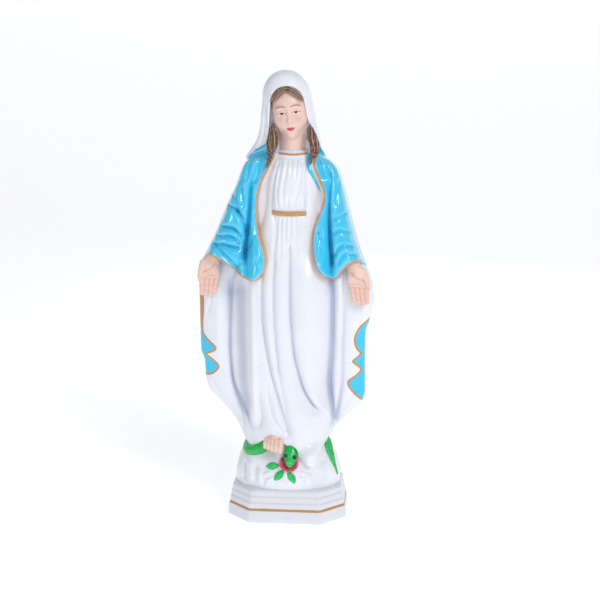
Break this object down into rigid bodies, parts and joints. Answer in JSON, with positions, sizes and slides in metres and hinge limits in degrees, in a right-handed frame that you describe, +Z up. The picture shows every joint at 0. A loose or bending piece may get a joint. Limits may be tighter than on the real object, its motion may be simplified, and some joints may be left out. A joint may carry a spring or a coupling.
{
  "type": "madonna statue",
  "caption": "Standing painted plastic figure of the Madonna with open hands, on a rock mound with a serpent and rose, over a stepped octagonal plinth.",
  "frame": {"origin": "centre of the plinth's flat underside", "axes": "+Z up along the figure's height; the figure faces -Y; +X is the figure's own left"},
  "size_m": [0.1171, 0.0632, 0.3],
  "materials": {
    "white_plastic": "cool white, semi-gloss moulded",
    "blue_paint": "cyan-blue, gloss painted",
    "gold_paint": "gold-ochre, brush painted",
    "skin_paint": "pale skin tone, satin painted",
    "hair_paint": "brown, satin painted",
    "green_paint": "bright green, gloss painted",
    "rose_paint": "crimson pink, gloss painted",
    "black_paint": "black, gloss painted"
  },
  "bodies": {
    "root": {"plinth": "white_plastic", "bottom_plate": "white_plastic", "rock_mound": "white_plastic", "gown_front_shell": "white_plastic", "mantle_back_shell": "blue_paint", "mantle_front_right": "blue_paint", "mantle_front_left": "blue_paint", "veil": "white_plastic", "head": "skin_paint", "hair_fringe": "hair_paint", "hair_lock_right": "hair_paint", "hair_lock_left": "hair_paint", "belt": "gold_paint", "hand_right": "skin_paint", "hand_left": "skin_paint", "foot_right": "skin_paint", "serpent_head": "green_paint", "serpent_body": "green_paint", "serpent_tail": "green_paint", "serpent_eye_right": "black_paint", "serpent_eye_left": "black_paint", "rose": "rose_paint", "rose_leaf_right": "green_paint", "rose_leaf_lower_right": "green_paint", "rose_leaf_lower_left": "green_paint"}
  },
  "joints": []
}
